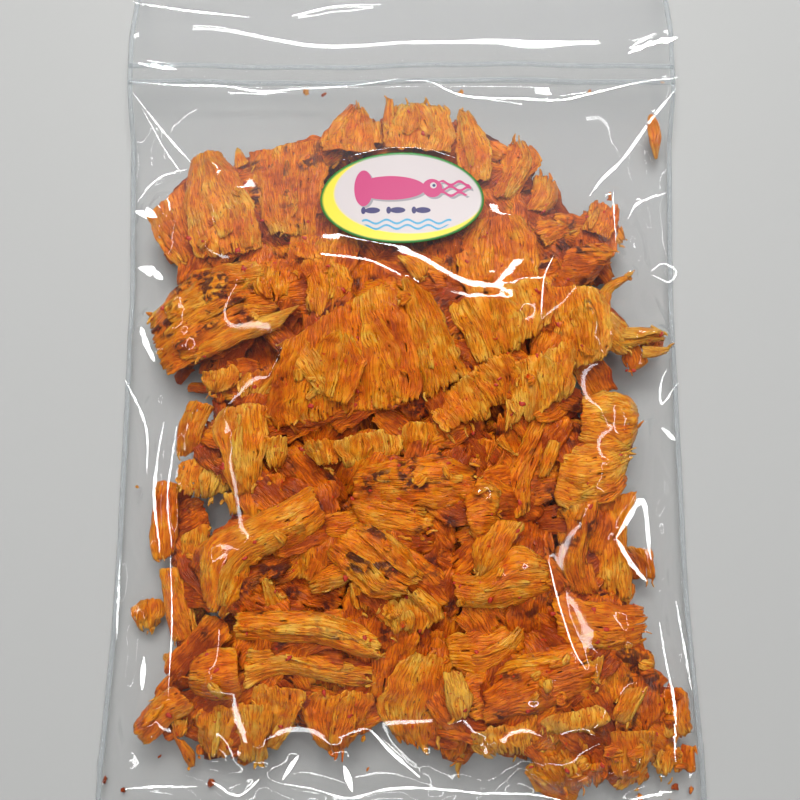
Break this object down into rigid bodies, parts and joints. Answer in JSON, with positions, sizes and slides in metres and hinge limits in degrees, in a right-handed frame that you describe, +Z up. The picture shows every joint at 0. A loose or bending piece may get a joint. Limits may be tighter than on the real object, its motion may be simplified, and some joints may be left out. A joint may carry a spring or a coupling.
{
  "type": "bag of dried squid",
  "caption": "Clear zip bag lying on its back, filled with a heap of pressed and torn dried squid flakes, with an oval label on its front film.",
  "frame": {"origin": "centre of the bag's outline, in the plane of the surface that it lies on", "axes": "+X to the bag's right as its label is seen, +Y along the bag to its zip and lip, +Z up through the label"},
  "size_m": [0.2, 0.3, 0.035],
  "materials": {
    "squid_in_clear_film": "golden orange dried squid seen through glossy clear film",
    "label_paper": "coated sticker paper, pale ground with coloured shapes"
  },
  "bodies": {
    "root": {"bag": "squid_in_clear_film", "label": "label_paper"}
  },
  "joints": []
}
